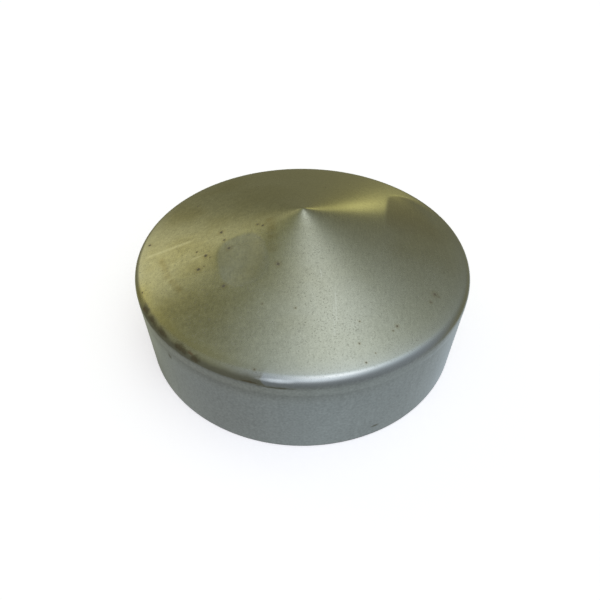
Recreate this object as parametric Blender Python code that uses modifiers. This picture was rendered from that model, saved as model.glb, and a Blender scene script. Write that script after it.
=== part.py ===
"""Conical cap for a round steel fence post.

The cap is one deep-drawn pressing of bare mild steel: a shallow cone with a small sharp peak, a
rounded shoulder, and a plain cylindrical skirt that slides over the post. It has no seam, hole or
fastener, so it is a single solid.

Units are metres, and +Z is up. The origin is the centre of the open rim, and Z is the cap's axis.
"""

import math

import bpy

# Driving dimensions
POST_DIAMETER = 0.1683  # outside of the round post, nominal 6 inch pipe
BORE_CLEARANCE = 0.0012  # between the post and the skirt, on the diameter
SHEET = 0.0019  # thickness of the steel
SKIRT_HEIGHT = 0.0451  # from the rim to where the shoulder begins to turn in
CONE_RISE = 0.0291  # from there up to the peak
SHOULDER_RADIUS = 0.0050  # outside of the bend between skirt and cone
CONE_SLOPE = math.radians(16.0)  # slope of the cone beside the shoulder
PEAK_REACH = 0.0050  # distance over which the extra steepness of the peak dies away
PEAK_ROUNDING = 0.0012  # blunts the very tip
EDGE_BREAK = 0.0003  # flat taken off both corners of the sheared rim

# How finely the curves are cut into facets
TURN_STEPS = 96
CONE_STEPS = 12
CONE_CROWDING = 1.5  # above 1 the cone's points crowd towards the peak
SHOULDER_STEPS = 6
MERGE_DISTANCE = 0.0001

# The steel
STEEL_COLOUR = (0.34, 0.35, 0.33, 1.0)
STEEL_ROUGHNESS = 0.42
STEEL_METALLIC = 1.0

# What follows from the driving dimensions
BORE_RADIUS = (POST_DIAMETER + BORE_CLEARANCE) / 2
OUTER_RADIUS = BORE_RADIUS + SHEET
BEND_CENTRE_RADIUS = OUTER_RADIUS - SHOULDER_RADIUS
BEND_END = math.pi / 2 - CONE_SLOPE  # angle round the bend where it meets the cone
CONE_FOOT_RADIUS = BEND_CENTRE_RADIUS + SHOULDER_RADIUS * math.cos(BEND_END)
CONE_FOOT_HEIGHT = SKIRT_HEIGHT + SHOULDER_RADIUS * math.sin(BEND_END)
PEAK_HEIGHT = SKIRT_HEIGHT + CONE_RISE
SHEET_UPRIGHT = SHEET / math.cos(CONE_SLOPE)  # thickness of the cone measured along Z


def clear_scene():
    """Removes every object that the file starts with."""
    for obj in list(bpy.data.objects):
        bpy.data.objects.remove(obj, do_unlink=True)


def distance_down_cone(radius):
    """Distance from the peak, softened so that the slope is zero on the axis."""
    return math.hypot(radius, PEAK_ROUNDING) - PEAK_ROUNDING


def cone_height(radius):
    """Height of the cone's outer face: a straight slope plus a peak that steepens near the axis."""
    foot = distance_down_cone(CONE_FOOT_RADIUS)
    drop = PEAK_HEIGHT - CONE_FOOT_HEIGHT
    peak = (drop - foot * math.tan(CONE_SLOPE)) / (1 - math.exp(-foot / PEAK_REACH))
    down = distance_down_cone(radius)
    return PEAK_HEIGHT - down * math.tan(CONE_SLOPE) - peak * (1 - math.exp(-down / PEAK_REACH))


def cone_points(foot_radius, thickness):
    """Points from the axis out to the cone's foot, on the face that lies thickness below the outer one."""
    points = []
    for step in range(CONE_STEPS + 1):
        radius = foot_radius * (step / CONE_STEPS) ** CONE_CROWDING
        points.append((radius, cone_height(radius) - thickness))
    return points


def bend_points(bend_radius):
    """Points from the cone's foot round the shoulder to the top of the skirt, without the first."""
    points = []
    for step in range(1, SHOULDER_STEPS + 1):
        angle = BEND_END * (1 - step / SHOULDER_STEPS)
        radius = BEND_CENTRE_RADIUS + bend_radius * math.cos(angle)
        points.append((radius, SKIRT_HEIGHT + bend_radius * math.sin(angle)))
    return points


def cap_profile():
    """The sheet's section, down the outside from the peak and back up the inside."""
    inner_bend = SHOULDER_RADIUS - SHEET
    inner_foot = BEND_CENTRE_RADIUS + inner_bend * math.cos(BEND_END)
    outside = cone_points(CONE_FOOT_RADIUS, 0) + bend_points(SHOULDER_RADIUS)
    rim = [
        (OUTER_RADIUS, EDGE_BREAK),
        (OUTER_RADIUS - EDGE_BREAK, 0),
        (BORE_RADIUS + EDGE_BREAK, 0),
        (BORE_RADIUS, EDGE_BREAK),
    ]
    inside = cone_points(inner_foot, SHEET_UPRIGHT) + bend_points(inner_bend)
    return outside + rim + inside[::-1]


def steel_material(name):
    """Bare mild steel with its mill finish."""
    material = bpy.data.materials.new(name)
    material.use_nodes = True
    shader = material.node_tree.nodes["Principled BSDF"]
    shader.inputs["Base Color"].default_value = STEEL_COLOUR
    shader.inputs["Roughness"].default_value = STEEL_ROUGHNESS
    shader.inputs["Metallic"].default_value = STEEL_METALLIC
    return material


def turned_object(name, profile, collection):
    """A closed round body: the profile in the XZ plane, turned about Z by a Screw modifier."""
    points = [(radius, 0, height) for radius, height in profile]
    edges = [(index, index + 1) for index in range(len(points) - 1)]
    mesh = bpy.data.meshes.new(name)
    mesh.from_pydata(points, edges, [])
    obj = bpy.data.objects.new(name, mesh)
    collection.objects.link(obj)
    screw = obj.modifiers.new("Turn", "SCREW")
    screw.axis = "Z"
    screw.steps = TURN_STEPS
    screw.render_steps = TURN_STEPS
    screw.use_merge_vertices = True
    screw.merge_threshold = MERGE_DISTANCE
    screw.use_smooth_shade = True
    return obj


def build_cap():
    """The whole object: one pressing in its own collection."""
    clear_scene()
    collection = bpy.data.collections.new("fence_post_cap")
    bpy.context.scene.collection.children.link(collection)
    shell = turned_object("cap_shell", cap_profile(), collection)
    shell.data.materials.append(steel_material("drawn_steel"))


build_cap()
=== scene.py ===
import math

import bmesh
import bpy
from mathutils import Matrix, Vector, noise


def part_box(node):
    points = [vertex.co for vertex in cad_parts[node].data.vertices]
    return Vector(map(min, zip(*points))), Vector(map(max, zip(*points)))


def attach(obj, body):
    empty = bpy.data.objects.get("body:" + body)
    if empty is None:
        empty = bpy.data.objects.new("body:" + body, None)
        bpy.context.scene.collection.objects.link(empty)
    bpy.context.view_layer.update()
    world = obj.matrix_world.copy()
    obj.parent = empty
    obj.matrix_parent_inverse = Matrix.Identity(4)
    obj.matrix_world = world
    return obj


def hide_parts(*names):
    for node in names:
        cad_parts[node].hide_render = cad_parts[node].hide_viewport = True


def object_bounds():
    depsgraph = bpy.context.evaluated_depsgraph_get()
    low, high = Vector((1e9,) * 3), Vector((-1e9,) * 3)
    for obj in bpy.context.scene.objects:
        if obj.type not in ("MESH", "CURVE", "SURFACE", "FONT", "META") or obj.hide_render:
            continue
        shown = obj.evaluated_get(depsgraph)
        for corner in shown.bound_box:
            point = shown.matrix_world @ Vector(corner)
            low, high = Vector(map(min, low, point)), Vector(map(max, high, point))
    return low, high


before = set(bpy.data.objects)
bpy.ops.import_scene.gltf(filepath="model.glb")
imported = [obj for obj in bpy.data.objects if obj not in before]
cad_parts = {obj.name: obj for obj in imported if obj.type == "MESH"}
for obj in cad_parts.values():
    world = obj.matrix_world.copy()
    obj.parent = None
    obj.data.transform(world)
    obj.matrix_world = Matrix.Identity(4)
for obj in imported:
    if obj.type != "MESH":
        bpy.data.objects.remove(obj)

# The looks of a conical fence post cap: one deep-drawn pressing of bare mild steel.
#
# Lengths are in metres, +Z is up, and the origin is the centre of the open rim. Azimuth goes round the
# cap: 0 faces the camera, and it grows towards the camera's right. It is in degrees in tables and in
# names that end in AZIMUTH, and in radians in the materials. Lights have an azimuth of their own, which
# towards() explains.

cad_low, cad_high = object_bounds()
_, shell_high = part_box("cap_shell")

# ---------------------------------------------------------------- sizes of the pressing

OUTER_RADIUS = shell_high.x
PEAK_HEIGHT = shell_high.z
CONE_RISE = 0.0291
SHOULDER_HEIGHT = PEAK_HEIGHT - CONE_RISE  # where the skirt ends and the shoulder turns in
SHEET = 0.0019
SHOULDER_RADIUS = 0.0050
CONE_SLOPE = math.radians(16.0)
PEAK_REACH = 0.0050  # distance over which the peak's extra steepness dies away
PEAK_ROUNDING = 0.0012
BURR_RADIUS = 0.0003  # rounding of the sheared rim's corners

BEND_CENTRE_RADIUS = OUTER_RADIUS - SHOULDER_RADIUS
BEND_END = math.pi / 2 - CONE_SLOPE
CONE_FOOT_RADIUS = BEND_CENTRE_RADIUS + SHOULDER_RADIUS * math.cos(BEND_END)
CONE_FOOT_HEIGHT = SHOULDER_HEIGHT + SHOULDER_RADIUS * math.sin(BEND_END)

# How finely the turned shape is cut
TURN_STEPS = 360
CONE_STEPS = 72
CONE_CROWDING = 1.25  # above 1 the cone's points crowd towards the peak
SHOULDER_STEPS = 16
SKIRT_STEPS = 56
BURR_STEPS = 3
INNER_SKIRT_STEPS = 12
INNER_SHOULDER_STEPS = 8
INNER_CONE_STEPS = 28
MERGE_DISTANCE = 1e-6


def on_cap(azimuth, share):
    """Point in plan at an azimuth in degrees and a share of the outer radius."""
    angle = math.radians(azimuth)
    return Vector((math.sin(angle), -math.cos(angle), 0)) * share * OUTER_RADIUS


def smooth_step(value, low, high):
    """0 below low, 1 above high, and an S-shaped rise between them."""
    share = min(max((value - low) / (high - low), 0.0), 1.0)
    return share * share * (3 - 2 * share)


def bell(value, centre, width):
    """1 at the centre, falling off on both sides."""
    return math.exp(-(((value - centre) / width) ** 2))


# ---------------------------------------------------------------- the turned section


def distance_down_cone(radius):
    """Distance from the peak, softened so that the slope is zero on the axis."""
    return math.hypot(radius, PEAK_ROUNDING) - PEAK_ROUNDING


def cone_height(radius):
    """Height of the cone's outer face: a straight slope plus a peak that steepens near the axis."""
    foot = distance_down_cone(CONE_FOOT_RADIUS)
    drop = PEAK_HEIGHT - CONE_FOOT_HEIGHT
    peak = (drop - foot * math.tan(CONE_SLOPE)) / (1 - math.exp(-foot / PEAK_REACH))
    down = distance_down_cone(radius)
    return PEAK_HEIGHT - down * math.tan(CONE_SLOPE) - peak * (1 - math.exp(-down / PEAK_REACH))


def cone_points(foot_radius, thickness, steps):
    """The cone from the axis out, on the face that lies thickness below the outer one."""
    shares = [(step / steps) ** CONE_CROWDING for step in range(steps + 1)]
    return [(foot_radius * share, cone_height(foot_radius * share) - thickness) for share in shares]


def arc_points(centre, radius, first, last, steps):
    """An arc of the section, from the angle first to the angle last, both in radians."""
    points = []
    for step in range(steps + 1):
        angle = first + (last - first) * step / steps
        points.append((centre[0] + radius * math.cos(angle), centre[1] + radius * math.sin(angle)))
    return points


def wall_points(radius, start, end, steps):
    """A straight stretch of the skirt, without its two ends."""
    return [(radius, start + (end - start) * step / steps) for step in range(1, steps)]


def section():
    """The sheet's section, down the outside from the peak and back up the inside."""
    bend = (BEND_CENTRE_RADIUS, SHOULDER_HEIGHT)
    inner_bend = SHOULDER_RADIUS - SHEET
    inner_foot = BEND_CENTRE_RADIUS + inner_bend * math.cos(BEND_END)
    bore = OUTER_RADIUS - SHEET
    outer_burr = (OUTER_RADIUS - BURR_RADIUS, BURR_RADIUS)
    inner_burr = (bore + BURR_RADIUS, BURR_RADIUS)
    outside = cone_points(CONE_FOOT_RADIUS, 0, CONE_STEPS)[:-1]
    outside += arc_points(bend, SHOULDER_RADIUS, BEND_END, 0, SHOULDER_STEPS)
    outside += wall_points(OUTER_RADIUS, SHOULDER_HEIGHT, BURR_RADIUS, SKIRT_STEPS)
    rim = arc_points(outer_burr, BURR_RADIUS, 0, -math.pi / 2, BURR_STEPS)
    rim += arc_points(inner_burr, BURR_RADIUS, -math.pi / 2, -math.pi, BURR_STEPS)
    inside = wall_points(bore, BURR_RADIUS, SHOULDER_HEIGHT, INNER_SKIRT_STEPS)
    inside += arc_points(bend, inner_bend, 0, BEND_END, INNER_SHOULDER_STEPS)
    inside += cone_points(inner_foot, SHEET / math.cos(CONE_SLOPE), INNER_CONE_STEPS)[-2::-1]
    return outside + rim + inside


# ---------------------------------------------------------------- what handling did to its shape

# Shallow dents in the cone. Centre and half sizes are shares of the outer radius in plan, turn is in
# degrees, square is how boxy the outline is, and depth is in metres. The rim of a dent is a crease on
# the crisp side (a direction in plan) and fades out opposite. Trail is how much longer it is towards
# -Y. Dulling is how much polish it lost. The painted dent shade multiplies the steel's colour inside it,
# as painted shade and painted reflection, and its low share is how much of it is left at its -Y end.
DENTS = [
    {
        "centre": (-0.326, -0.290),
        "half": (0.142, 0.190),
        "turn": 14,
        "square": 2.8,
        "depth": 0.00070,
        "crisp": (-0.9, 0.44),
        "trail": 1.0,
        "dulling": 0.42,
        # painted shade and reflection: darker and a little bluish
        "painted_dent_shade": (0.94, 0.955, 1.03, 1),
        "painted_dent_shade_low": 0.75,
    },
    {
        "centre": (0.800, 0.215),
        "half": (0.275, 0.300),
        "turn": -10.6,
        "square": 6.0,
        "depth": 0.00140,
        "crisp": (-0.70, 0.71),
        "trail": 1.7,
        "dulling": 0.0,
        # painted shade and reflection: darker and browner
        "painted_dent_shade": (0.87, 0.84, 0.78, 1),
        "painted_dent_shade_low": 0.0,
    },
]

CREASE_FADE = (-0.1, 0.7)  # where a dent's rim turns from crisp to soft, in half sizes past its centre
DENT_STOP = 0.90  # share of the cone's foot radius beyond which dents fade, so that the shoulder is whole
EVEN_RADIUS = 0.02  # the sheet's unevenness dies away within this distance of the peak

DRAW_LINE_HEIGHT = SHOULDER_HEIGHT - 0.0055  # mark that the die's entry left on the skirt
DRAW_LINE_WIDTH = 0.0012
DRAW_LINE_DEPTH = 0.00005
SWELL_HEIGHT = SHOULDER_HEIGHT - 0.0030  # the wall is a little proud between shoulder and line
SWELL_WIDTH = 0.0026
SWELL = 0.00010

LEAN = 0.00030  # how far the free rim sits off the axis
LEAN_AZIMUTH = -75
OVAL = 0.00015
OVAL_AZIMUTH = 30
WAVE = 0.00006  # slow unevenness of the sheet
WAVE_SCALE = 28.0
RIPPLE = 0.000010  # finer unevenness
RIPPLE_SCALE = 110.0


def dent_depth(x, y, dent):
    """How far down a dent presses the point of the cone at x, y."""
    offset = Vector((x, y)) / OUTER_RADIUS - Vector(dent["centre"])
    turn = math.radians(dent["turn"])
    across = offset.x * math.cos(turn) + offset.y * math.sin(turn)
    along = offset.y * math.cos(turn) - offset.x * math.sin(turn)
    if along < 0:
        along /= dent["trail"]
    square = dent["square"]
    reach = abs(across / dent["half"][0]) ** square + abs(along / dent["half"][1]) ** square
    inside = 1 - reach ** (2 / square)
    if inside <= 0:
        return 0
    side = offset.dot(Vector(dent["crisp"]).normalized()) / max(dent["half"])
    softness = 1 + smooth_step(-side, *CREASE_FADE)
    return dent["depth"] * inside**softness


def radial_change(angle, z):
    """How far the skirt's wall stands from a true circle."""
    freedom = 1 - z / SHOULDER_HEIGHT
    change = LEAN * freedom * math.cos(angle - math.radians(LEAN_AZIMUTH))
    change += OVAL * freedom * math.cos(2 * (angle - math.radians(OVAL_AZIMUTH)))
    change += SWELL * bell(z, SWELL_HEIGHT, SWELL_WIDTH)
    change -= DRAW_LINE_DEPTH * bell(z, DRAW_LINE_HEIGHT, DRAW_LINE_WIDTH)
    return change


def worn(point):
    """Where a point of the true turned shape really lies after drawing, trimming and handling."""
    x, y, z = point
    radius = math.hypot(x, y)
    wave = WAVE * noise.noise(Vector((x, y, z)) * WAVE_SCALE)
    wave += RIPPLE * noise.noise(Vector((x, y, z)) * RIPPLE_SCALE)
    if radius > BEND_CENTRE_RADIUS and z < SHOULDER_HEIGHT:
        angle = math.atan2(x, -y)
        scale = 1 + (radial_change(angle, z) + wave) / radius
        return Vector((x * scale, y * scale, z))
    sink = 0
    if z > SHOULDER_HEIGHT and radius < CONE_FOOT_RADIUS:
        sink = sum(dent_depth(x, y, dent) for dent in DENTS)
        sink *= 1 - smooth_step(radius, DENT_STOP * CONE_FOOT_RADIUS, CONE_FOOT_RADIUS)
    calm = smooth_step(radius, 0, EVEN_RADIUS)
    return Vector((x, y, z - sink + wave * calm))


def turned_mesh(name, points):
    """A closed mesh: the section turned once round Z."""
    bm = bmesh.new()
    verts = [bm.verts.new((radius, 0, height)) for radius, height in points]
    edges = [bm.edges.new(pair) for pair in zip(verts, verts[1:])]
    bmesh.ops.spin(
        bm,
        geom=verts + edges,
        axis=(0, 0, 1),
        cent=(0, 0, 0),
        angle=math.tau,
        steps=TURN_STEPS,
        use_merge=True,
    )
    bmesh.ops.remove_doubles(bm, verts=bm.verts, dist=MERGE_DISTANCE)
    bmesh.ops.recalc_face_normals(bm, faces=bm.faces)
    for vert in bm.verts:
        vert.co = worn(vert.co)
    mesh = bpy.data.meshes.new(name)
    bm.to_mesh(mesh)
    bm.free()
    mesh.shade_smooth()
    return mesh


# ---------------------------------------------------------------- materials


class Graph:
    """Short forms for wiring a node tree. A value may be a number, a tuple or another node's output."""

    def __init__(self, tree):
        self.tree = tree

    def put(self, socket, value):
        """Links another node's output to the socket, or sets the socket to a plain value."""
        if isinstance(value, bpy.types.NodeSocket):
            self.tree.links.new(value, socket)
        else:
            socket.default_value = value

    def node(self, kind, values=(), **settings):
        """A node with its settings, and values for its inputs, by name or by place."""
        made = self.tree.nodes.new(kind)
        for name, value in settings.items():
            setattr(made, name, value)
        for key, value in dict(values).items():
            self.put(made.inputs[key], value)
        return made

    def math(self, operation, *values, clamp=False):
        """One operation on numbers."""
        values = dict(enumerate(values))
        return self.node("ShaderNodeMath", values, operation=operation, use_clamp=clamp).outputs[0]

    def vector(self, operation, *values):
        """One operation on vectors."""
        made = self.node("ShaderNodeVectorMath", dict(enumerate(values)), operation=operation)
        single = operation in ("DOT_PRODUCT", "LENGTH", "DISTANCE")
        return made.outputs["Value" if single else "Vector"]

    def smooth(self, value, low, high, start=0.0, end=1.0):
        """start below low, end above high, and an S-shaped change between."""
        values = {"Value": value, "From Min": low, "From Max": high, "To Min": start, "To Max": end}
        made = self.node("ShaderNodeMapRange", values, interpolation_type="SMOOTHSTEP")
        return made.outputs["Result"]

    def noise(self, vector, scale, detail=2.0, roughness=0.5):
        """Noise between about 0 and 1, with scale cells to a metre."""
        values = {"Vector": vector, "Scale": scale, "Detail": detail, "Roughness": roughness}
        return self.node("ShaderNodeTexNoise", values).outputs[0]

    def colour(self, factor, first, second, blend="MIX"):
        """The first colour at a factor of 0, and its blend with the second at 1."""
        values = {0: factor, 6: first, 7: second}
        return self.node("ShaderNodeMix", values, data_type="RGBA", blend_type=blend).outputs[2]

    def blend(self, factor, first, second):
        """The first number at a factor of 0 and the second at 1."""
        return self.node("ShaderNodeMix", {0: factor, 2: first, 3: second}).outputs[0]

    def times(self, first, second):
        """The product of two numbers."""
        return self.math("MULTIPLY", first, second)

    def plus(self, first, second):
        """The sum of two numbers."""
        return self.math("ADD", first, second)

    def either(self, first, second):
        """The larger of two numbers."""
        return self.math("MAXIMUM", first, second)

    def bell(self, value, centre, width):
        """1 at the centre, falling off on both sides."""
        offset = self.math("DIVIDE", self.math("SUBTRACT", value, centre), width)
        square = self.times(offset, offset)
        return self.math("EXPONENT", self.times(square, -1.0))


# Linear colours
CONE_STEEL = (0.44, 0.445, 0.405, 1)
CONE_PATINA = (0.355, 0.342, 0.245, 1)
SKIRT_STEEL = (0.478, 0.502, 0.505, 1)
SKIRT_WARM = (0.452, 0.458, 0.418, 1)
SHOULDER_STEEL = (0.45, 0.465, 0.475, 1)
SHOULDER_OLD = (0.55, 0.52, 0.29, 1)
BURNISHED_STEEL = (0.66, 0.67, 0.66, 1)
# Near white, brighter than steel: the rubbed patch where the shoulder's highlight starts, partly painted
# highlight
SCUFF_AND_HIGHLIGHT_STEEL = (0.90, 0.925, 0.95, 1)
INNER_STEEL = (0.22, 0.21, 0.19, 1)
# A dark tone of real stains and dirt, also laid over the shoulder's rusty stretch as painted shade
STAIN_AND_SHADE_TONE = (0.150, 0.140, 0.088, 1)
PATCH_BROWN = (0.085, 0.065, 0.028, 1)
SMEAR_BROWN = (0.27, 0.235, 0.145, 1)
RUST_DARK = (0.072, 0.050, 0.024, 1)
RUST_RED = (0.15, 0.075, 0.035, 1)
RUST_HALO = (0.25, 0.20, 0.10, 1)

# Rust spots on the cone: azimuth, share of the radius, and size, where 1 is about 1.2 mm across
RUST_SPOTS = [
    (-85, 0.476, 1.3),
    (-75, 0.462, 0.85),
    (-65, 0.454, 1.2),
    (-68, 0.585, 1.3),
    (-74, 0.625, 0.65),
    (-61, 0.652, 1.35),
    (-65, 0.568, 0.45),
    (-61, 0.618, 0.5),
    (-42, 0.618, 1.25),
    (-80, 0.262, 0.9),
    (-74, 0.236, 0.95),
    (-20, 0.380, 1.2),
    (-90, 0.928, 1.1),
    (-65, 0.967, 0.6),
    (58, 0.839, 1.3),
    (58, 0.863, 0.5),
    (53.5, 0.845, 0.7),
    (-19, 0.623, 0.5),
    (-3, 0.619, 0.5),
    (-13.4, 0.957, 0.55),
    (23, 0.734, 0.43),
    (19.3, 0.842, 0.43),
    (19, 0.940, 0.5),
    (23, 0.909, 0.33),
    (35, 0.831, 0.77),
    (32.6, 0.841, 0.45),
    (-150, 0.620, 0.8),
    (163, 0.500, 0.6),
    (-118, 0.780, 0.9),
]

# Bright scratches: both ends in plan as shares of the outer radius, width in metres, and strength
SCRATCHES = [
    ((-0.940, -0.125), (-0.619, -0.052), 0.0018, 0.45),
    ((-0.637, -0.230), (-0.519, -0.200), 0.0010, 0.40),
    ((0.171, -0.508), (0.172, -0.708), 0.0005, 0.28),
    ((0.158, -0.580), (0.160, -0.780), 0.0006, 0.16),
    ((0.094, -0.386), (0.102, -0.444), 0.0005, 0.28),
]

# Faint brown smears on the cone, given the same way but all equally strong
SMEARS = [
    ((-0.823, -0.148), (-0.730, -0.364), 0.0032),
    ((-0.730, -0.350), (-0.638, -0.466), 0.0028),
    ((-0.196, 0.000), (-0.168, -0.162), 0.0042),
    ((-0.172, -0.140), (-0.157, -0.290), 0.0040),
]

# Marks given by azimuth, height, and half sizes along and up: dark marks on the skirt, then brown rust,
# a patch rubbed bright, whose near-white colour is partly a painted highlight, and redder rust, all three
# on the shoulder
SKIRT_MARKS = [
    (-43.6, 0.0364, 0.0010, 0.0015),
    (23.8, 0.0066, 0.0020, 0.0008),
    (-6.5, 0.0448, 0.0065, 0.0005),
]
BROWN_PATCHES = [
    (-57.5, 0.0487, 0.0038, 0.0009),
    (-52.5, 0.0484, 0.0038, 0.0009),
    (-46.5, 0.0481, 0.0042, 0.0010),
    (-37.5, 0.0479, 0.0046, 0.0012),
    (-31.4, 0.0472, 0.0020, 0.0014),
    (-14.5, 0.0459, 0.0030, 0.0005),
]
# The rubbed patch where the shoulder's highlight starts, its colour partly a painted highlight
SCUFFS_AND_HIGHLIGHT = [
    (-6.9, 0.0480, 0.0062, 0.0006),
]
RED_PATCHES = [
    (-33.4, 0.0484, 0.0015, 0.0005),
    (-58.5, 0.0478, 0.0015, 0.0004),
]

# Rust spots and specks
SPOT_DIVISOR = 1650  # a spot's size divided by this is its radius in metres
SPOT_EDGE = (0.5, 1.5)  # radii between which a spot fades out
HALO_EDGE = (1.0, 4.0)
RAGGEDNESS = (0.6, 1.4)  # noise stretches the distance to a spot this much, so its outline is uneven
SPECK_LEVELS = (0.58, 0.72)  # levels of noise between which a speck darkens
SMALL_SPECK_LEVELS = (0.62, 0.74)
SMALL_SPECK_FINENESS = 2.2
DRIFT_LEVELS = (0.34, 0.66)
SPECKED_FRONT = (0.15 * OUTER_RADIUS, -0.25 * OUTER_RADIUS)  # in Y, where specks grow denser
REAR_SPECKS = 0.25  # how strong they are on the rear

SCRATCH_FADES = (0.12, 0.8)  # shares of its length where a scratch is full, and where it begins to fade

# The rusty stretch of the shoulder. Its darkness is partly real stain and partly painted shade, darkest
# in its lower part.
STAIN_START = math.radians(-67.5)
STAIN_GROWTH = 0.20  # radians over which it grows from there
STAIN_FOOT = (SHOULDER_HEIGHT - 0.0006, SHOULDER_HEIGHT + 0.0007)
STAIN_RAGGEDNESS = 0.0014
DULL_TOP = (SHOULDER_HEIGHT + 0.0036, SHOULDER_HEIGHT + 0.0052)
# The darkening, partly real stain and partly painted shade, fades out between the start and the tops
DARK_START = SHOULDER_HEIGHT + 0.0020
DARK_TOPS = (SHOULDER_HEIGHT + 0.0050, SHOULDER_HEIGHT + 0.0062)  # at both ends of the turn below
DARK_TOP_TURN = (-1.05, -0.60)
CLEAN_START = math.radians(-11.2)  # azimuth where it stops, because the steel is rubbed clean
CLEAN_EDGE = (CLEAN_START - 0.006, CLEAN_START + 0.012)
CLEAN_MIDDLE = SHOULDER_HEIGHT + 0.0030  # the clean steel reaches furthest left at this height
CLEAN_HALF_HEIGHT = 0.0020
CLEAN_BULGE = 0.012  # radians

# Marks of uneven outline
MARK_EDGE = (0.3, 1.6)  # half sizes between which a mark fades out
MARK_UNEVENNESS = 1.6
SCUFF_UNEVENNESS = 0.5

# Looks of the cone and the shoulder
CONE_FADE = (SHOULDER_HEIGHT + 0.0030, CONE_FOOT_HEIGHT)
SHOULDER_MIDDLE = SHOULDER_HEIGHT + 0.0032
SHOULDER_HALF_HEIGHT = 0.0020
LEFT_OF_CONE = (OUTER_RADIUS * 0.25, -OUTER_RADIUS * 0.8)  # in X, where the patina grows
PATINA_SHARES = (0.15, 0.7)  # on the right and on the left
PATINA_LEVELS = (0.36, 0.66)
SMEAR_LEVELS = (0.25, 0.60)
SMEAR_GAPS = 0.2  # how much of a smear is left where it is broken
SMEAR_STRENGTH = 0.52
MOTTLE_STRENGTH = 0.75
GRAIN_SHADES = (0.64, 1.36)
SPECKLE_SHARE = 0.6  # the grain is made of an even speckle and of lines
LINES_SHARE = 0.4
OLD_START = (-0.16, -0.55)  # azimuths between which the shoulder turns brownish
OLD_END = (-1.30, -1.10)  # azimuths between which that ends again

# Looks of the skirt. Losses are shares of the brightness, taken off as painted shade.
STREAK_SHARE = 0.20
CLOUD_SHARE = 0.22
TOOTH_SHARE = 0.60
SKIRT_BASE = 0.49
# Painted shade on the skirt: a dark band a little below the shoulder, a darker neck just under it, a
# darker line in the draw line's groove and a darker rim
BAND_SHADE_HEIGHT = SHOULDER_HEIGHT - 0.0064
BAND_SHADE_WIDTH = 0.0022
BAND_SHADE_LOSS = 0.14
NECK_HEIGHTS = (SHOULDER_HEIGHT - 0.0020, SHOULDER_HEIGHT + 0.0008)
NECK_LOSS = 0.36
DRAW_LINE_BLUR = 0.0006
DRAW_LINE_LOSS = 0.08
RIM_BLUR = 0.0007
RIM_LOSS = 0.35
FRONT_RIGHT = (0.7, -0.3)  # azimuths between which the losses grow to full from the right
FRONT_LEFT = (-1.25, -0.75)  # and from the left
SIDE_SHARE = 0.15  # share of the losses at the sides and the back
# Painted shade low on the left side of the skirt, and painted light higher up
LEFT_FRONT = (-0.80, -1.05)  # azimuths between which the left side begins and ends
LEFT_BACK = (-2.6, -1.7)
LEFT_TOP = 0.040
LEFT_GRADIENT = (-0.36, 0.27)  # how much the left side gains at the rim, where it is a loss as painted shade, and above, as painted light
WARM_HEIGHT = SHOULDER_HEIGHT - 0.0150
WARM_SHARE = 0.8

# Looks inside the dents
DENT_EDGE = (0.70, 1.10)
DULL_FADE = (-0.85, 0.10)  # half sizes towards the crisp side, between which the dulling grows to full
LEAST_DULLING = 0.45  # share of the dulling at the soft side
PAINTED_DENT_SHADE_FADE = (-0.95, -0.15)  # half sizes along Y, between which the painted dent shade grows to full

# Strengths of the layers that lie over the steel
SKIRT_MARK_STRENGTH = 0.8
# Partly real stain and partly painted shade on the shoulder's rusty stretch
STAIN_AND_SHADE_STRENGTH = 0.9
BROWN_STRENGTH = 0.85
RED_STRENGTH = 0.7
HALO_STRENGTH = 0.28
SPOT_STRENGTH = 0.70
SPECK_STRENGTH = 0.25

# Roughness. A pair goes from the smoothest to the roughest spot.
SKIRT_ROUGHNESS = 0.36
CONE_ROUGHNESS = (0.15, 0.23)
SHOULDER_ROUGHNESS = (0.10, 0.30)
DULLED_ROUGHNESS = 0.60
SCUFFED_ROUGHNESS = 0.40
SCUFF_SHARE = 0.8
RUST_ROUGHNESS = 0.70
RUST_METALLIC = 0.35
DULL_OXIDE = 0.45  # how much the dull stretch and the brown patches count as rust
BROWN_OXIDE = 0.8
INNER_ROUGHNESS = (0.45, 0.65)
INNER_METALLIC = (0.9, 0.5)

# Looks of the inside
INNER_CLOUD_LEVELS = (0.35, 0.7)
INNER_SPECK_LEVELS = (0.5, 0.8)
INNER_SPECK_STRENGTH = 0.6

# Relief in metres
GRAIN_RELIEF = 0.0000020
STREAK_RELIEF = 0.000002
RUST_RELIEF = -0.00002
INNER_RELIEF = 0.000006
FLOOR_RELIEF = 0.00001

# Cells of noise to a metre
GRAIN_SCALE = 1300
SPECK_SCALE = 1200
SPOT_SCALE = 900
TOOTH_SCALE = 900
SHOULDER_SCALE = 650
MARK_SCALE = 500
MOTTLE_SCALE = 420
STREAK_SCALE = 420
FLOOR_SCALE = 300
STAIN_SCALE = 220
SMEAR_SCALE = 190
DRIFT_SCALE = 55
SKIRT_CLOUD_SCALE = 45
INNER_CLOUD_SCALE = 40
PATINA_SCALE = 34
ROLLING_STRETCH = 0.12  # below 1, because the sheet's grain runs along Y
STREAK_STRETCH = 0.03  # the same for the streaks, which run along Z

PALE_FLOOR = ((0.86, 0.86, 0.86, 1), (0.89, 0.89, 0.89, 1))
FLOOR_ROUGHNESS = (0.9, 1.0)
FLOOR_GLOW = (0.46, 0.43, 0.46, 1)


class Place:
    """Where a shading point lies on the cap."""

    def __init__(self, graph):
        self.point = graph.node("ShaderNodeTexCoord").outputs["Object"]
        parts = graph.node("ShaderNodeSeparateXYZ", {0: self.point}).outputs
        self.x, self.y, self.height = parts
        self.plan = graph.vector("MULTIPLY", self.point, (1, 1, 0))
        self.radius = graph.vector("LENGTH", self.plan)
        self.azimuth = graph.math("ARCTAN2", self.x, graph.times(self.y, -1.0))


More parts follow.
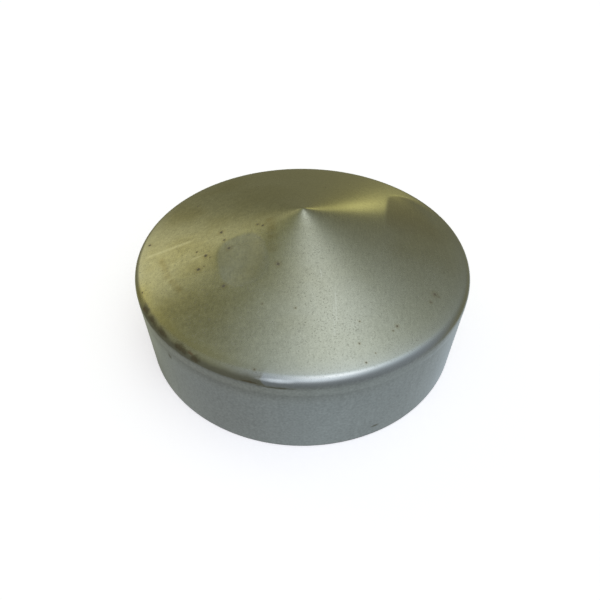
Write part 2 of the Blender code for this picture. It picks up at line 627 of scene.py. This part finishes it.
def rust_spots(graph, place):
    """Nearness to the closest rust spot: 1 at a spot's rim, less inside it."""
    nearest = 10.0
    ragged = graph.blend(graph.noise(place.point, SPOT_SCALE), *RAGGEDNESS)
    for azimuth, share, size in RUST_SPOTS:
        distance = graph.vector("DISTANCE", place.plan, on_cap(azimuth, share)[:])
        nearest = graph.math("MINIMUM", nearest, graph.math("DIVIDE", distance, size / SPOT_DIVISOR))
    return graph.times(nearest, ragged)


def specks(graph, place):
    """Fine dark specks of uneven outline, in drifts and mostly on the front of the cone."""
    larger = graph.noise(place.point, SPECK_SCALE, detail=1, roughness=0.4)
    smaller = graph.noise(place.point, SPECK_SCALE * SMALL_SPECK_FINENESS, detail=1, roughness=0.4)
    fine = graph.smooth(larger, *SPECK_LEVELS)
    small = graph.smooth(smaller, *SMALL_SPECK_LEVELS)
    drift = graph.smooth(graph.noise(place.point, DRIFT_SCALE), *DRIFT_LEVELS)
    frontness = graph.smooth(place.y, *SPECKED_FRONT, REAR_SPECKS, 1.0)
    strength = graph.times(graph.plus(graph.times(drift, 0.5), 0.5), frontness)
    return graph.times(graph.either(fine, graph.times(small, 0.6)), strength)


def scratch(graph, place, start, end, width):
    """Nearness to a straight scratch across the cone."""
    start = Vector((*start, 0)) * OUTER_RADIUS
    run = Vector((*end, 0)) * OUTER_RADIUS - start
    offset = graph.vector("SUBTRACT", place.plan, start[:])
    along = graph.vector("DOT_PRODUCT", offset, run[:])
    share = graph.math("DIVIDE", along, run.length_squared, clamp=True)
    foot = graph.vector("SCALE", run[:])
    graph.put(foot.node.inputs["Scale"], share)
    distance = graph.vector("DISTANCE", offset, foot)
    full, fading = SCRATCH_FADES
    fade = graph.times(graph.smooth(share, 0, full), graph.smooth(share, 1.0, fading))
    return graph.times(graph.smooth(distance, 0, width, 1.0, 0.0), fade)


def on_cone(graph, place):
    """1 on the cone, 0 below the shoulder."""
    return graph.smooth(place.height, *CONE_FADE)


def on_shoulder(graph, place):
    """1 near the middle of the shoulder's bend, falling off above and below."""
    return graph.bell(place.height, SHOULDER_MIDDLE, SHOULDER_HALF_HEIGHT)


def clean_edge(graph, place):
    """1 on the rusty side of the bowed line where the shoulder is rubbed clean, and 0 past it."""
    above = graph.math("DIVIDE", graph.math("SUBTRACT", place.height, CLEAN_MIDDLE), CLEAN_HALF_HEIGHT)
    bulge = graph.times(graph.times(above, above), CLEAN_BULGE)
    azimuth = graph.math("SUBTRACT", place.azimuth, bulge)
    return graph.smooth(azimuth, *CLEAN_EDGE, 1.0, 0.0)


def shoulder_stain_and_shade(graph, place):
    """How dull and how dark the rusty stretch of the shoulder is; the darkness is partly real stain and
    partly painted shade.
    """
    uneven = graph.math("SUBTRACT", graph.noise(place.point, STAIN_SCALE, detail=3), 0.5)
    height = graph.plus(place.height, graph.times(uneven, STAIN_RAGGEDNESS))
    low = graph.smooth(height, *STAIN_FOOT)
    dull = graph.smooth(height, *DULL_TOP, 1.0, 0.0)
    top = graph.smooth(place.azimuth, *DARK_TOP_TURN, *DARK_TOPS)
    dark = graph.smooth(height, DARK_START, top, 1.0, 0.0)
    start = graph.smooth(place.azimuth, STAIN_START, STAIN_START + STAIN_GROWTH)
    stretch = graph.times(graph.times(start, clean_edge(graph, place)), low)
    return graph.times(stretch, dull), graph.times(stretch, dark)


def marks(graph, place, table, unevenness=MARK_UNEVENNESS):
    """Nearness to small marks of uneven outline, given by azimuth, height and half sizes."""
    total = 0.0
    centred = graph.math("SUBTRACT", graph.noise(place.point, MARK_SCALE), 0.5)
    ragged = graph.times(centred, unevenness)
    for azimuth, height, along, up in table:
        turn = graph.math("SUBTRACT", place.azimuth, math.radians(azimuth))
        sideways = graph.math("DIVIDE", turn, along / OUTER_RADIUS)
        upward = graph.math("DIVIDE", graph.math("SUBTRACT", place.height, height), up)
        square = graph.plus(graph.times(sideways, sideways), graph.times(upward, upward))
        distance = graph.plus(graph.math("SQRT", square), ragged)
        total = graph.either(total, graph.smooth(distance, *MARK_EDGE, 1.0, 0.0))
    return total


def grey(graph, shade):
    """A grey colour from one number."""
    return graph.node("ShaderNodeCombineColor", {0: shade, 1: shade, 2: shade}).outputs[0]


def smears(graph, place):
    """Nearness to the closest brown smear, with gaps in it."""
    nearest = 0.0
    for start, end, width in SMEARS:
        nearest = graph.either(nearest, scratch(graph, place, start, end, width))
    uneven = graph.noise(place.point, SMEAR_SCALE, detail=3)
    return graph.times(nearest, graph.smooth(uneven, *SMEAR_LEVELS, SMEAR_GAPS, 1.0))


def cone_colour(graph, place, grain):
    """Mill finish with a faint patina in clouds, mostly on the left."""
    clouds = graph.smooth(graph.noise(place.point, PATINA_SCALE, detail=3), *PATINA_LEVELS)
    leftness = graph.smooth(place.x, *LEFT_OF_CONE, *PATINA_SHARES)
    colour = graph.colour(graph.times(clouds, leftness), CONE_STEEL, CONE_PATINA)
    colour = graph.colour(graph.times(smears(graph, place), SMEAR_STRENGTH), colour, SMEAR_BROWN)
    mottle = graph.math("SUBTRACT", graph.noise(place.point, MOTTLE_SCALE), 0.5)
    mottle = graph.plus(graph.times(graph.times(mottle, leftness), MOTTLE_STRENGTH), 1.0)
    shade = graph.times(graph.blend(grain, *GRAIN_SHADES), mottle)
    return graph.colour(1.0, colour, grey(graph, shade), "MULTIPLY")


def skirt_front(graph, place):
    """1 on the front of the skirt, less at its sides and back."""
    right = graph.smooth(place.azimuth, *FRONT_RIGHT, SIDE_SHARE, 1.0)
    left = graph.smooth(place.azimuth, *FRONT_LEFT, SIDE_SHARE, 1.0)
    return graph.times(right, left)


def skirt_painted_shade(graph, place, frontness):
    """Share of brightness taken off the skirt as painted shade: a dark band below the shoulder, the neck,
    the draw line's groove and the rim.
    """
    # Painted shade: the band and the neck mostly on the front, the draw line and the rim all round
    band_shade = graph.times(graph.bell(place.height, BAND_SHADE_HEIGHT, BAND_SHADE_WIDTH), BAND_SHADE_LOSS)
    neck = graph.smooth(place.height, *NECK_HEIGHTS, 0.0, NECK_LOSS)
    line = graph.times(graph.bell(place.height, DRAW_LINE_HEIGHT, DRAW_LINE_BLUR), DRAW_LINE_LOSS)
    rim = graph.times(graph.bell(place.height, 0.0, RIM_BLUR), RIM_LOSS)
    return graph.plus(graph.times(graph.plus(band_shade, neck), frontness), graph.plus(line, rim))


def left_side_painted_light(graph, place):
    """What multiplies the skirt's brightness: painted shade below 1 low on its left side, and painted
    light above 1 higher up.
    """
    leftness = graph.smooth(place.azimuth, *LEFT_FRONT)
    leftness = graph.times(leftness, graph.smooth(place.azimuth, *LEFT_BACK))
    gradient = graph.smooth(place.height, 0.0, LEFT_TOP, *LEFT_GRADIENT)
    return graph.plus(graph.times(leftness, gradient), 1.0)


def skirt_colour(graph, place):
    """Steel polished by the die's rub, with faint upright streaks and slow clouds, and painted shade
    under the shoulder, along the draw line, at the rim and low on the left side, with painted light
    higher on the left. Gives the streaks as well.
    """
    drawn = graph.vector("MULTIPLY", place.point, (1, 1, STREAK_STRETCH))
    streaks = graph.noise(drawn, STREAK_SCALE, detail=4, roughness=0.65)
    clouds = graph.noise(place.point, SKIRT_CLOUD_SCALE, detail=3)
    tooth = graph.noise(place.point, TOOTH_SCALE)
    shade = graph.plus(graph.times(streaks, STREAK_SHARE), graph.times(clouds, CLOUD_SHARE))
    shade = graph.plus(shade, graph.plus(graph.times(tooth, TOOTH_SHARE), SKIRT_BASE))
    frontness = skirt_front(graph, place)
    # Painted shade under the shoulder, along the draw line and at the rim
    shade = graph.times(shade, graph.math("SUBTRACT", 1.0, skirt_painted_shade(graph, place, frontness)))
    # Painted shade low on the left side and painted light higher up
    shade = graph.times(shade, left_side_painted_light(graph, place))
    warmth = graph.smooth(place.height, WARM_HEIGHT, SHOULDER_HEIGHT, 0.0, WARM_SHARE)
    colour = graph.colour(graph.times(warmth, frontness), SKIRT_STEEL, SKIRT_WARM)
    return graph.colour(1.0, colour, grey(graph, shade), "MULTIPLY"), streaks


def dent_outline(graph, offset, dent):
    """1 inside a dent's outline and 0 outside it."""
    turn = math.radians(dent["turn"])
    axes = (math.cos(turn), math.sin(turn), 0), (-math.sin(turn), math.cos(turn), 0)
    reach = 0.0
    for axis, half in zip(axes, dent["half"]):
        scaled = Vector(axis) / (half * OUTER_RADIUS)
        share = graph.math("ABSOLUTE", graph.vector("DOT_PRODUCT", offset, scaled[:]))
        reach = graph.plus(reach, graph.math("POWER", share, dent["square"]))
    return graph.smooth(reach, *DENT_EDGE, 1.0, 0.0)


def inside_dents(graph, place):
    """How much polish is lost inside the dents, and the painted shade and reflection that multiply the
    colour there.
    """
    dulling, painted_dent_shade = 0.0, (1, 1, 1, 1)
    for dent in DENTS:
        middle = Vector((*dent["centre"], 0)) * OUTER_RADIUS
        offset = graph.vector("SUBTRACT", place.plan, middle[:])
        outline = dent_outline(graph, offset, dent)
        crisp = Vector((*dent["crisp"], 0)).normalized() / (max(dent["half"]) * OUTER_RADIUS)
        side = graph.vector("DOT_PRODUCT", offset, crisp[:])
        least = LEAST_DULLING * dent["dulling"]
        fade = graph.smooth(side, *DULL_FADE, least, dent["dulling"])
        dulling = graph.either(dulling, graph.times(outline, fade))
        upward = graph.vector("DOT_PRODUCT", offset, (0, 1 / (dent["half"][1] * OUTER_RADIUS), 0))
        tinted = graph.smooth(upward, *PAINTED_DENT_SHADE_FADE, dent["painted_dent_shade_low"], 1.0)
        painted_dent_shade = graph.colour(graph.times(outline, tinted), painted_dent_shade, dent["painted_dent_shade"])
    return dulling, painted_dent_shade


def finish_shader(material, colour, roughness, metallic, bump):
    """Wires the looks into the material's shader. The bump is a height in metres."""
    shader = material.node_tree.nodes["Principled BSDF"]
    graph = Graph(material.node_tree)
    graph.put(shader.inputs["Base Color"], colour)
    graph.put(shader.inputs["Roughness"], roughness)
    graph.put(shader.inputs["Metallic"], metallic)
    normal = graph.node("ShaderNodeBump", {"Strength": 1.0, "Distance": 1.0, "Height": bump})
    graph.put(shader.inputs["Normal"], normal.outputs[0])


def new_material(name):
    """A material and the graph for wiring it."""
    material = bpy.data.materials.new(name)
    material.use_nodes = True
    return material, Graph(material.node_tree)


def steel_grain(graph, place):
    """Fine grain: an even speckle, and lines along the direction that the sheet was rolled in."""
    rolled = graph.vector("MULTIPLY", place.point, (1, ROLLING_STRETCH, 1))
    speckle = graph.noise(place.point, GRAIN_SCALE, roughness=0.6)
    lines = graph.noise(rolled, GRAIN_SCALE, roughness=0.6)
    return graph.plus(graph.times(speckle, SPECKLE_SHARE), graph.times(lines, LINES_SHARE))


def scratches(graph, place):
    """How bright the bright scratches are."""
    brightest = 0.0
    for start, end, width, strength in SCRATCHES:
        line = graph.times(scratch(graph, place, start, end, width), strength)
        brightest = graph.either(brightest, line)
    return brightest


def shoulder_colour(graph, place):
    """Clean steel, brownish along the rusty stretch."""
    start = graph.smooth(place.azimuth, *OLD_START)
    end = graph.smooth(place.azimuth, *OLD_END)
    return graph.colour(graph.times(start, end), SHOULDER_STEEL, SHOULDER_OLD)


class Layers:
    """How much of each layer covers a shading point, from 0 to 1."""

    def __init__(self, graph, place):
        self.cone = on_cone(graph, place)
        self.shoulder = on_shoulder(graph, place)
        # The dark part is partly real stain and partly painted shade
        self.dull, self.dark = shoulder_stain_and_shade(graph, place)
        self.marked = marks(graph, place, SKIRT_MARKS)
        self.brown = marks(graph, place, BROWN_PATCHES)
        self.red = marks(graph, place, RED_PATCHES)
        # A rubbed patch, its colour partly a painted highlight
        self.scuff_and_highlight = marks(graph, place, SCUFFS_AND_HIGHLIGHT, SCUFF_UNEVENNESS)
        near = rust_spots(graph, place)
        self.halo = graph.times(graph.smooth(near, *HALO_EDGE, HALO_STRENGTH, 0.0), self.cone)
        spots = graph.times(graph.smooth(near, *SPOT_EDGE, SPOT_STRENGTH, 0.0), self.cone)
        fine = graph.times(graph.times(specks(graph, place), self.cone), SPECK_STRENGTH)
        self.rust = graph.either(spots, fine)
        stains = graph.either(graph.times(self.dull, DULL_OXIDE), graph.times(self.brown, BROWN_OXIDE))
        self.oxide = graph.either(self.rust, stains)


def stains_and_painted_light(graph, layers, colour):
    """The steel's colour with stains, rust and the scuff laid over it, one after another, with painted
    shade on the shoulder's rusty stretch and a painted highlight in the scuff.
    """
    cover = [
        (graph.times(layers.marked, SKIRT_MARK_STRENGTH), STAIN_AND_SHADE_TONE),
        # Partly real stain and partly painted shade on the shoulder's rusty stretch
        (graph.times(layers.dark, STAIN_AND_SHADE_STRENGTH), STAIN_AND_SHADE_TONE),
        (graph.times(layers.brown, BROWN_STRENGTH), PATCH_BROWN),
        (graph.times(layers.red, RED_STRENGTH), RUST_RED),
        # Partly a painted highlight where the shoulder is rubbed clean
        (layers.scuff_and_highlight, SCUFF_AND_HIGHLIGHT_STEEL),
        (layers.halo, RUST_HALO),
        (layers.rust, RUST_DARK),
    ]
    for amount, tone in cover:
        colour = graph.colour(amount, colour, tone)
    return colour


def steel_roughness(graph, place, layers, grain, dulling):
    """The shoulder is the most polished, and rust and the dulled dent are the least."""
    roughness = graph.blend(layers.cone, SKIRT_ROUGHNESS, graph.blend(grain, *CONE_ROUGHNESS))
    polished = graph.blend(graph.noise(place.point, SHOULDER_SCALE), *SHOULDER_ROUGHNESS)
    roughness = graph.blend(layers.shoulder, roughness, polished)
    roughness = graph.blend(graph.times(dulling, layers.cone), roughness, DULLED_ROUGHNESS)
    roughness = graph.blend(graph.times(layers.scuff_and_highlight, SCUFF_SHARE), roughness, SCUFFED_ROUGHNESS)
    return graph.blend(layers.oxide, roughness, RUST_ROUGHNESS)


def outer_steel():
    """The outside: cone, shoulder and skirt, with what rust and handling left on them, and with painted
    shade and highlights.
    """
    material, graph = new_material("drawn_steel_outside")
    place = Place(graph)
    layers = Layers(graph, place)
    grain = steel_grain(graph, place)
    skirt, streaks = skirt_colour(graph, place)
    dulling, painted_dent_shade = inside_dents(graph, place)
    # Painted shade and reflection inside the dents
    cone = graph.colour(1.0, cone_colour(graph, place, grain), painted_dent_shade, "MULTIPLY")
    colour = graph.colour(layers.cone, skirt, cone)
    colour = graph.colour(layers.shoulder, colour, shoulder_colour(graph, place))
    colour = graph.colour(scratches(graph, place), colour, BURNISHED_STEEL)
    colour = stains_and_painted_light(graph, layers, colour)
    roughness = steel_roughness(graph, place, layers, grain, dulling)
    metallic = graph.blend(layers.oxide, 1.0, RUST_METALLIC)
    relief = graph.plus(graph.times(grain, GRAIN_RELIEF), graph.times(streaks, STREAK_RELIEF))
    relief = graph.plus(relief, graph.times(layers.rust, RUST_RELIEF))
    finish_shader(material, colour, roughness, metallic, relief)
    return material


def inner_steel():
    """The inside: dull, oily and unpolished."""
    material, graph = new_material("drawn_steel_inside")
    place = Place(graph)
    clouds = graph.smooth(graph.noise(place.point, INNER_CLOUD_SCALE, detail=4), *INNER_CLOUD_LEVELS)
    colour = graph.colour(clouds, INNER_STEEL, STAIN_AND_SHADE_TONE)
    speckle = graph.noise(place.point, GRAIN_SCALE)
    specked = graph.times(graph.smooth(speckle, *INNER_SPECK_LEVELS), INNER_SPECK_STRENGTH)
    colour = graph.colour(specked, colour, RUST_DARK)
    roughness = graph.blend(clouds, *INNER_ROUGHNESS)
    metallic = graph.blend(clouds, *INNER_METALLIC)
    finish_shader(material, colour, roughness, metallic, graph.times(speckle, INNER_RELIEF))
    return material


def floor_material():
    """Plain pale matt paper, evenly lit, with the faintest tooth."""
    material, graph = new_material("pale_floor")
    point = graph.node("ShaderNodeTexCoord").outputs["Object"]
    tooth = graph.noise(point, FLOOR_SCALE)
    colour = graph.colour(tooth, *PALE_FLOOR)
    roughness = graph.blend(tooth, *FLOOR_ROUGHNESS)
    finish_shader(material, colour, roughness, 0.0, graph.times(tooth, FLOOR_RELIEF))
    shader = material.node_tree.nodes["Principled BSDF"]
    shader.inputs["Emission Color"].default_value = FLOOR_GLOW
    shader.inputs["Emission Strength"].default_value = 1.0
    return material


# ---------------------------------------------------------------- the object


INWARD = -0.1  # a face looks inward or down if its normal points that way by more than this


def is_inner(polygon):
    """True on the faces that look into the hollow, and not on the rim."""
    outward = Vector((polygon.center.x, polygon.center.y, 0)).normalized()
    faces_in = polygon.normal.dot(outward) < INWARD or polygon.normal.z < INWARD
    return faces_in and polygon.center.z > BURR_RADIUS


def build_cap():
    """The one visible piece, in place of the CAD's shell."""
    mesh = turned_mesh("pressed_shell", section())
    mesh.materials.append(outer_steel())
    mesh.materials.append(inner_steel())
    for polygon in mesh.polygons:
        polygon.material_index = int(is_inner(polygon))
    shell = bpy.data.objects.new("pressed_shell", mesh)
    bpy.context.scene.collection.objects.link(shell)
    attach(shell, "root")
    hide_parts("cap_shell")


# ---------------------------------------------------------------- floor, light and camera

FLOOR_HALF = 3.0
FLOOR_SQUARES = 8  # on a side
FLOOR_DROP = 0.0002  # keeps it from lying in the plane of the rim


def build_floor():
    """A pale floor under the rim, which the steel doesn't reflect."""
    mesh = bpy.data.meshes.new("floor")
    bm = bmesh.new()
    bmesh.ops.create_grid(bm, x_segments=FLOOR_SQUARES, y_segments=FLOOR_SQUARES, size=FLOOR_HALF)
    bm.to_mesh(mesh)
    bm.free()
    floor = bpy.data.objects.new("floor", mesh)
    floor.location.z = cad_low.z - FLOOR_DROP
    mesh.materials.append(floor_material())
    bpy.context.scene.collection.objects.link(floor)
    floor.visible_glossy = False  # the steel reflects the table tone of the room instead


def towards(azimuth, elevation):
    """Unit direction: azimuth 0 is straight back from the camera, 90 is to the right."""
    turn = math.radians(azimuth)
    rise = math.radians(elevation)
    return Vector((math.sin(turn) * math.cos(rise), math.cos(turn) * math.cos(rise), math.sin(rise)))


# Soft lights of the room: azimuth, elevation, how many degrees wide, and colour
SOFT_LIGHTS = [
    (33, 73.5, 9.2, (0.51, 0.522, 0.515)),
    (-46, 24, 11.5, (0.85, 0.785, 0.425)),
    (17.3, 10.2, 2.7, (1.07, 1.0, 0.36)),
    (14, 9.5, 7, (0.11, 0.09, 0.01)),
    (122, 67.5, 23, (0.74, 0.86, 0.905)),
    (172, 38, 14, (0.85, 0.91, 0.96)),
    (147, 62, 10.5, (1.08, 1.03, 1.03)),
    (-20, 50, 20, (0.08, 0.09, 0.03)),
    (60, 30, 22, (0.035, 0.055, 0.09)),
    (38, -43, 13, (0.41, 0.49, 0.61)),
    (-45, -43, 15, (0.08, 0.09, 0.04)),
]
BACK_TONE = (0.227, 0.215, 0.115, 1)
FRONT_TONE = (0.32, 0.35, 0.365, 1)
TABLE_LEFT = (0.35, 0.36, 0.34, 1)
TABLE_RIGHT = (0.435, 0.48, 0.485, 1)
BACKDROP = (1.0, 1.0, 1.0, 1)

# Components of the direction between which one flat tone turns into the next
FRONT_TO_BACK = (-0.35, 0.35)
LEFT_TO_RIGHT = (-0.6, 0.2)
ROOM_TO_TABLE = (-0.50, -0.80)


def build_world():
    """A dim room with soft lights in it, and a white backdrop that only the camera sees."""
    world = bpy.data.worlds.new("studio")
    world.use_nodes = True
    bpy.context.scene.world = world
    graph = Graph(world.node_tree)
    direction = graph.node("ShaderNodeTexCoord").outputs["Generated"]
    parts = graph.node("ShaderNodeSeparateXYZ", {0: direction}).outputs
    room = graph.colour(graph.smooth(parts[1], *FRONT_TO_BACK), FRONT_TONE, BACK_TONE)
    table = graph.colour(graph.smooth(parts[0], *LEFT_TO_RIGHT), TABLE_LEFT, TABLE_RIGHT)
    total = graph.colour(graph.smooth(parts[2], *ROOM_TO_TABLE), room, table)
    for azimuth, elevation, width, colour in SOFT_LIGHTS:
        facing = graph.vector("DOT_PRODUCT", direction, towards(azimuth, elevation)[:])
        falloff = 1 / math.radians(width) ** 2
        glow = graph.math("EXPONENT", graph.times(graph.plus(facing, -1.0), falloff))
        lit = graph.vector("SCALE", colour)
        graph.put(lit.node.inputs["Scale"], glow)
        total = graph.vector("ADD", total, lit)
    seen = graph.node("ShaderNodeLightPath").outputs["Is Camera Ray"]
    total = graph.colour(seen, total, BACKDROP)
    background = world.node_tree.nodes["Background"]
    graph.put(background.inputs["Color"], total)


CAMERA_LENS = 28.79  # mm
SENSOR_WIDTH = 36  # mm
CLIP_START = 0.01
CAMERA_RADII = 2.97  # distance from the middle of the shoulder's circle, in cap radii
CAMERA_ELEVATION = 38.6
CAMERA_TILT = -0.0943  # small turns away from that middle, in radians
CAMERA_PAN = 0.0051
CAMERA_ROLL = -0.0070


def build_camera():
    """The camera that took the photo, as its fit to the cap's outline has it."""
    data = bpy.data.cameras.new("camera")
    data.lens = CAMERA_LENS
    data.sensor_width = SENSOR_WIDTH
    data.clip_start = CLIP_START
    camera = bpy.data.objects.new("camera", data)
    bpy.context.scene.collection.objects.link(camera)
    bpy.context.scene.camera = camera
    middle = Vector((0, 0, SHOULDER_HEIGHT))
    back = towards(180, CAMERA_ELEVATION)
    forward = -back
    right = Vector((1, 0, 0))
    up = right.cross(forward)
    frame_axes = Matrix((right, up, -forward)).transposed()
    for angle, axis in ((CAMERA_TILT, right), (CAMERA_PAN, up), (CAMERA_ROLL, forward)):
        turn = Matrix.Rotation(angle, 3, axis)
        frame_axes = turn @ frame_axes
    camera.matrix_world = frame_axes.to_4x4()
    camera.location = middle + back * CAMERA_RADII * OUTER_RADIUS


bpy.context.scene.view_settings.view_transform = "Standard"
build_cap()
build_floor()
build_world()
build_camera()
